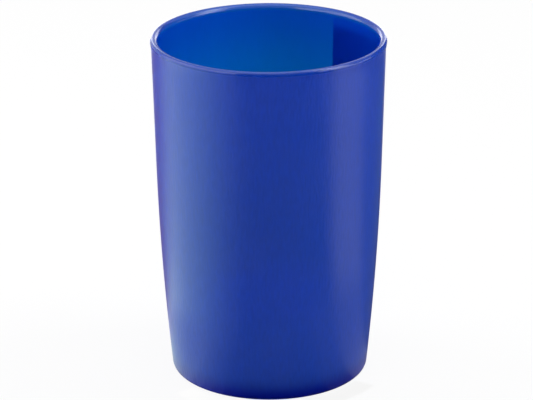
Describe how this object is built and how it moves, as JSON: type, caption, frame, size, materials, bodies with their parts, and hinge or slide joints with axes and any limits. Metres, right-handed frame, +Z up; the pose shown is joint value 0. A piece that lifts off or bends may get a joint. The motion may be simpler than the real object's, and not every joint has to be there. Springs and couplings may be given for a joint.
{
  "type": "bathroom tumbler",
  "caption": "Plain round bathroom tumbler, a one-piece moulded plastic cup that tapers to its base, with a smooth rounded lip, for rinsing water or for holding toothbrushes.",
  "frame": {"origin": "centre of the standing ring, on the surface that the tumbler stands on", "axes": "+Z up along the cup's axis, out of its mouth; X and Y are free, because the cup is round"},
  "size_m": [0.075, 0.075, 0.112],
  "materials": {
    "satin_blue_plastic": "deep blue moulded plastic, satin outside, polished lip and inside"
  },
  "bodies": {
    "root": {"cup_body": "satin_blue_plastic"}
  },
  "joints": []
}
